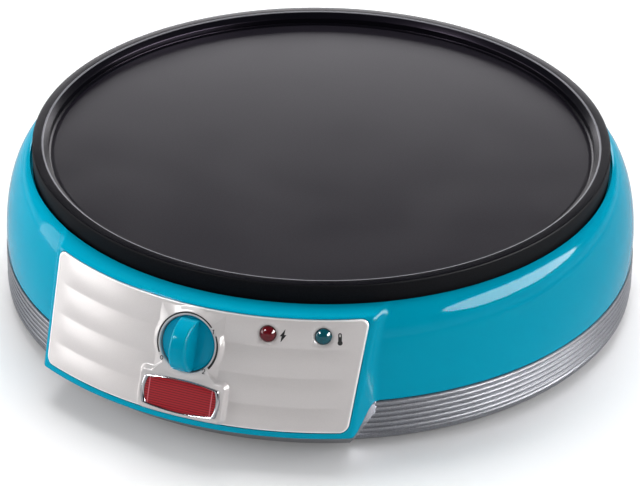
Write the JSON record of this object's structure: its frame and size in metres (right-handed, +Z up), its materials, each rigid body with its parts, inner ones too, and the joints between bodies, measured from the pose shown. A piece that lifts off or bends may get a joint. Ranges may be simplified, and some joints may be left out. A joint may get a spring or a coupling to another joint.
{
  "type": "electric crepe maker",
  "caption": "Electric crepe maker: a round non-stick hot plate in a domed turquoise casing on a ribbed silver base, with a sloping control console and a thermostat knob.",
  "frame": {"origin": "on the table, under the middle of the footprint (the plate's own axis is 8.8 mm behind it)", "axes": "+Z up, -Y towards the user (the console is at the front), +X to the right of someone facing the console"},
  "size_m": [0.3408, 0.3624, 0.088],
  "materials": {
    "nonstick_black": "die-cast, black non-stick coating, satin",
    "casing_turquoise": "injection moulded, high gloss",
    "knob_turquoise": "injection moulded, high gloss",
    "tray_silver": "silver painted, satin",
    "panel_white": "pearl off-white, gloss",
    "badge_chrome": "chromed, polished",
    "badge_red": "red lacquer under a clear coat, pinstriped",
    "lens_red": "clear red, polished",
    "lens_green": "clear dark green, polished",
    "element_sheath": "dull grey, heat tinted",
    "ceramic_white": "steatite ceramic, matt",
    "steel": "plain sheet",
    "zinc_steel": "zinc plated",
    "reflector_aluminium": "pressed, mill finish",
    "phenolic_brown": "phenolic, matt",
    "phenolic_black": "phenolic, matt",
    "nylon_white": "natural, moulded",
    "brass": "plain",
    "copper": "drawn tube, plain",
    "rubber_black": "moulded, matt",
    "wire_brown": "silicone insulation",
    "wire_blue": "silicone insulation",
    "wire_green_yellow": "silicone insulation, green and yellow",
    "wire_white": "silicone insulation"
  },
  "bodies": {
    "root": {"cooking_plate": "nonstick_black", "heating_element": "element_sheath", "element_beads": "ceramic_white", "element_pins": "steel", "heat_reflector": "reflector_aluminium", "plate_spacers": "phenolic_brown", "plate_studs": "zinc_steel", "plate_washers": "zinc_steel", "plate_nuts": "zinc_steel", "upper_casing": "casing_turquoise", "base_tray": "tray_silver", "rubber_feet": "rubber_black", "base_screws": "zinc_steel", "control_panel": "panel_white", "panel_screws": "zinc_steel", "badge_frame": "badge_chrome", "badge_insert": "badge_red", "power_lamp_lens": "lens_red", "ready_lamp_lens": "lens_green", "lamp_holders": "nylon_white", "thermostat_body": "phenolic_black", "thermostat_terminals": "brass", "thermostat_bracket": "steel", "thermostat_screws": "zinc_steel", "bracket_screws": "zinc_steel", "capillary_tube": "copper", "sensing_bulb": "copper", "bulb_clip": "steel", "bulb_clip_screw": "zinc_steel", "thermal_fuse": "ceramic_white", "fuse_clip": "steel", "terminal_block": "nylon_white", "terminal_screw": "zinc_steel", "cord_bush": "rubber_black", "cord_clamp": "nylon_white", "clamp_screws": "zinc_steel", "earth_tab": "brass", "earth_screw": "zinc_steel", "live_wires": "wire_brown", "neutral_wire": "wire_blue", "earth_wire": "wire_green_yellow", "lamp_wires": "wire_white"},
    "knob": {"knob": "knob_turquoise", "knob_spring": "steel", "thermostat_spindle": "nylon_white"}
  },
  "joints": [
    {"name": "knob_turn", "type": "hinge", "parent": "root", "child": "knob", "pos_m": [0, -0.16456, 0.0569], "axis": [0, 0.9438, -0.3305], "range_deg": [-127.7, 138.5]}
  ]
}
